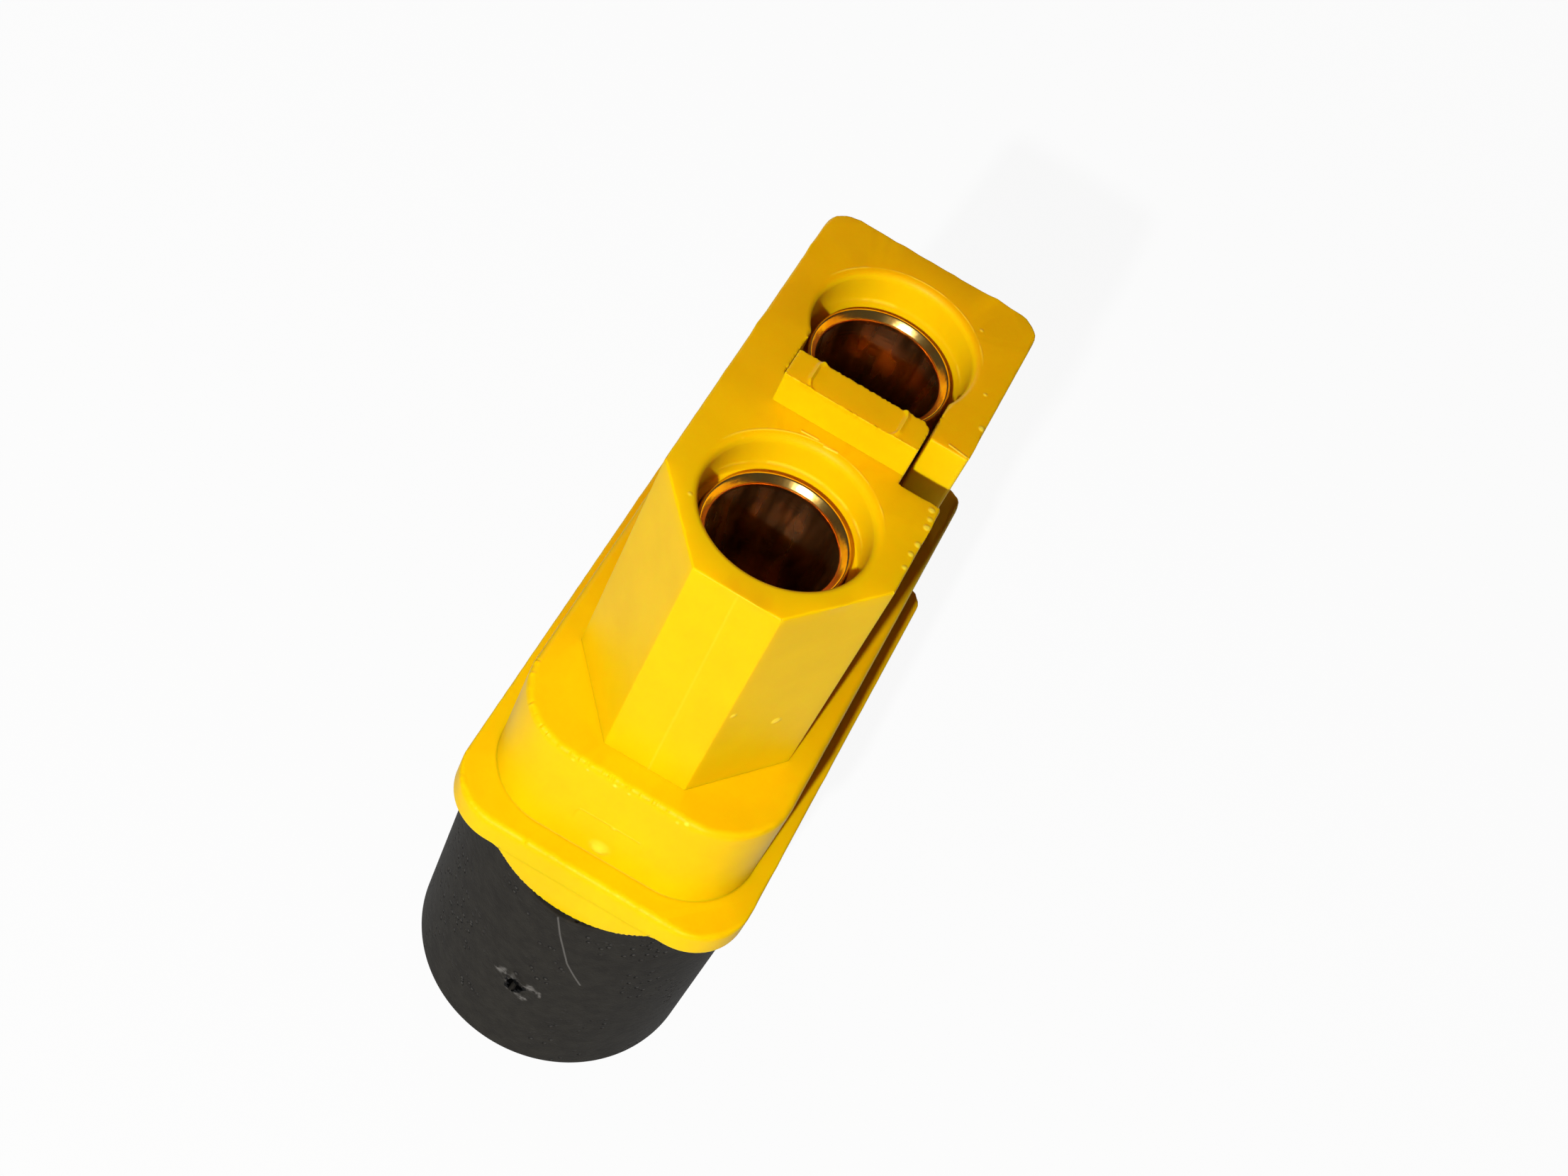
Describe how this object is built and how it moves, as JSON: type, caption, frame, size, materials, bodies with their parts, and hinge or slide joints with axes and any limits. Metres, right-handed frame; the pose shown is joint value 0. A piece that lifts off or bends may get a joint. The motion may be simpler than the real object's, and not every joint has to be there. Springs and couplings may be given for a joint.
{
  "type": "two-pole battery lead connector",
  "caption": "Yellow keyed battery lead connector with round gold-plated socket contacts and a black push-on rear cap.",
  "frame": {"origin": "centre of the rear cap's rim, on the plane that the part stands on, midway between the two contact axes", "axes": "+Z along the contacts, toward the mating half; Y along the row of contacts, with the cut-corner end of the nose at -Y; +X toward the side notch"},
  "size_m": [0.0142, 0.026, 0.0374],
  "materials": {
    "yellow_moulding": "satin moulded nylon, warm golden yellow",
    "gold_plating": "gold plating over turned metal",
    "black_moulding": "matte moulded charcoal black with a fine grain"
  },
  "bodies": {
    "root": {"housing": "yellow_moulding", "contact_cut_end": "gold_plating", "contact_square_end": "gold_plating", "rear_cap": "black_moulding"}
  },
  "joints": []
}
